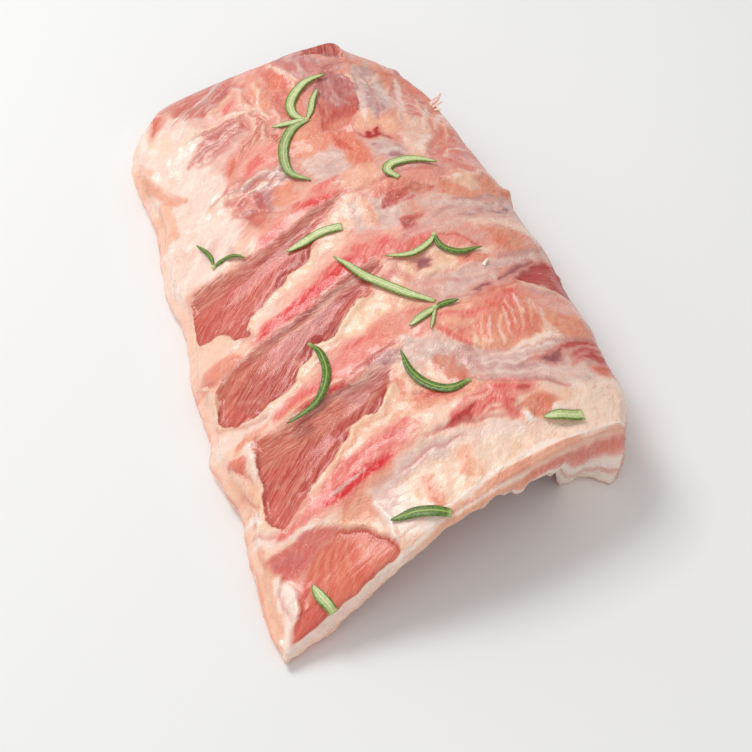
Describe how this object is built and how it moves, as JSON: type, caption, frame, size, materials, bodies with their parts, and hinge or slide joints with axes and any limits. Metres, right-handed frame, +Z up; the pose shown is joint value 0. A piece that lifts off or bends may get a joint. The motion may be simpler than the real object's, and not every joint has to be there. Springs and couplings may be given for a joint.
{
  "type": "rack of ribs",
  "caption": "Rack of raw pork ribs lying arched with its bones down, low ridges over each rib, lean showing between bands of fat, and loose rosemary leaves on top.",
  "frame": {"origin": "middle of the rack's plan, on the surface that it lies on", "axes": "+Z up; +Y along the rack, from the pointed near end to the far end; +X across it, from the thin breast edge to the thick chine edge"},
  "size_m": [0.1374, 0.2564, 0.0473],
  "materials": {
    "raw_meat": "moist raw pork and fat, standing in as smooth plastic",
    "rosemary": "leathery leaf"
  },
  "bodies": {
    "root": {"rack": "raw_meat", "rosemary_at_near_cut": "rosemary", "rosemary_bow_left": "rosemary", "rosemary_bow_right": "rosemary", "rosemary_cut_tip": "rosemary", "rosemary_fork_left": "rosemary", "rosemary_fork_right": "rosemary", "rosemary_hook": "rosemary", "rosemary_long": "rosemary", "rosemary_short_tip": "rosemary", "rosemary_small_sprig": "rosemary", "rosemary_straight_cut": "rosemary", "rosemary_tip_of_four": "rosemary"}
  },
  "joints": []
}
